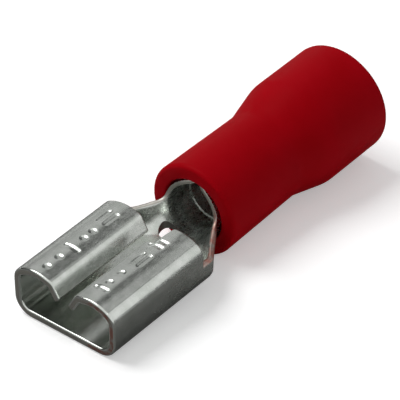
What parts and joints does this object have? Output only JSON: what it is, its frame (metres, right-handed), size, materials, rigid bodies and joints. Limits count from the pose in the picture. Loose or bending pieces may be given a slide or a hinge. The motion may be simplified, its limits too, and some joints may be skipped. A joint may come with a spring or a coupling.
{
  "type": "insulated female spade terminal",
  "caption": "Insulated female spade terminal: rolled receptacle for a flat tab, necked wire barrel and a flared insulating sleeve.",
  "frame": {"origin": "underside of the receptacle's floor, in the middle of its mouth", "axes": "+Y along the terminal from the mouth towards the wire end, +Z on the side where the wings meet, +X completes the frame"},
  "size_m": [0.006, 0.0212, 0.0058],
  "materials": {
    "tinned_brass": "tin plated, satin",
    "red_vinyl": "moulded, satin"
  },
  "bodies": {
    "root": {"terminal": "tinned_brass", "insulating_sleeve": "red_vinyl"}
  },
  "joints": []
}
